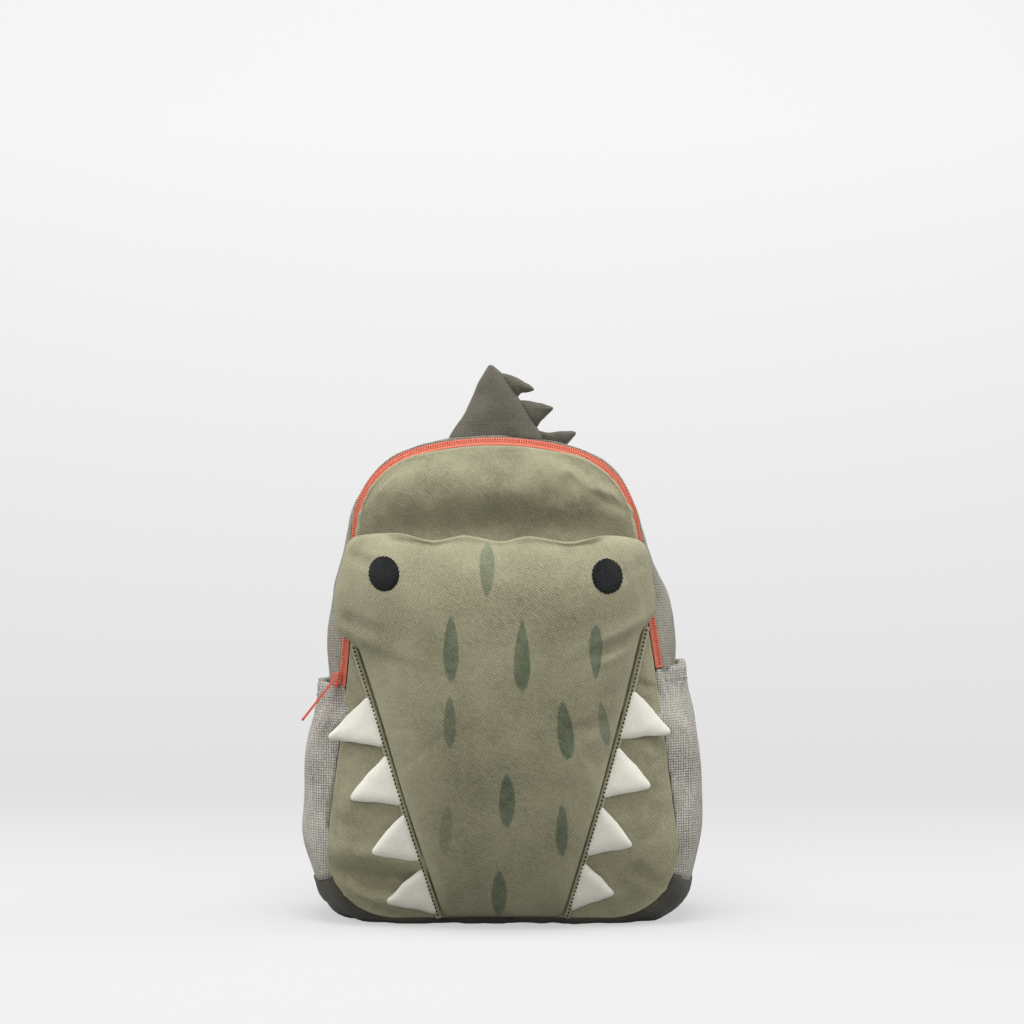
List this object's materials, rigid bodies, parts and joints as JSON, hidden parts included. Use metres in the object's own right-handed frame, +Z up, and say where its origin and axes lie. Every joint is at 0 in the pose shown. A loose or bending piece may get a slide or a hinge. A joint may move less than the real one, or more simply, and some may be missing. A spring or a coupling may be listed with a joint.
{
  "type": "child's backpack with a tail",
  "caption": "Small child's padded backpack with a crocodile's face: a snout-shaped front pocket edged with stuffed teeth, stitched eyes, a spiked tail on top, side pockets and padded straps.",
  "frame": {"origin": "on the floor, at the middle of the flat base", "axes": "+Z up, -Y the way the face looks, +X to the right of the face as seen"},
  "size_m": [0.2536, 0.1929, 0.35],
  "materials": {
    "olive_twill": "washed olive cotton twill with a fine diagonal rib",
    "grey_cloth": "grey green woven cloth",
    "dark_cloth": "dark grey woven cloth",
    "check_cloth": "light cloth with a fine woven check",
    "tail_cloth": "dark grey brown cloth with a fine woven check",
    "cream_cloth": "cream brushed cloth, lightly stuffed",
    "black_thread": "black satin stitch embroidery",
    "olive_thread": "dark olive seam edging with dark stitches",
    "coral_zip": "coral zip tape with a coral coil",
    "coral_metal": "coral enamel",
    "webbing": "dark grey ribbed webbing",
    "dark_plastic": "moulded dark plastic"
  },
  "bodies": {
    "bag": {"front_panel": "olive_twill", "snout": "olive_twill", "back_panel": "grey_cloth", "gusset": "grey_cloth", "base_panel": "dark_cloth", "strap_left": "dark_cloth", "strap_right": "dark_cloth", "anchor_left": "dark_cloth", "anchor_right": "dark_cloth", "pocket_left": "check_cloth", "pocket_right": "check_cloth", "tail_body": "tail_cloth", "tail_spike_1": "tail_cloth", "tail_spike_2": "tail_cloth", "tail_spike_3": "tail_cloth", "tooth_left_1": "cream_cloth", "tooth_left_2": "cream_cloth", "tooth_left_3": "cream_cloth", "tooth_left_4": "cream_cloth", "tooth_right_1": "cream_cloth", "tooth_right_2": "cream_cloth", "tooth_right_3": "cream_cloth", "tooth_right_4": "cream_cloth", "eye_left": "black_thread", "eye_right": "black_thread", "seam_band_left": "olive_thread", "seam_band_right": "olive_thread", "zip_tape": "coral_zip", "zip_coil": "coral_zip", "zip_slider": "coral_metal", "webbing_left": "webbing", "webbing_right": "webbing", "haul_loop": "webbing", "buckle_left": "dark_plastic", "buckle_right": "dark_plastic"},
    "zip_pull": {"zip_pull": "coral_metal"}
  },
  "joints": [
    {"name": "zip_pull_swing", "type": "hinge", "parent": "bag", "child": "zip_pull", "pos_m": [-0.10453, -0.04107, 0.15205], "axis": [0, 1, 0], "range_deg": [0, 100]}
  ]
}
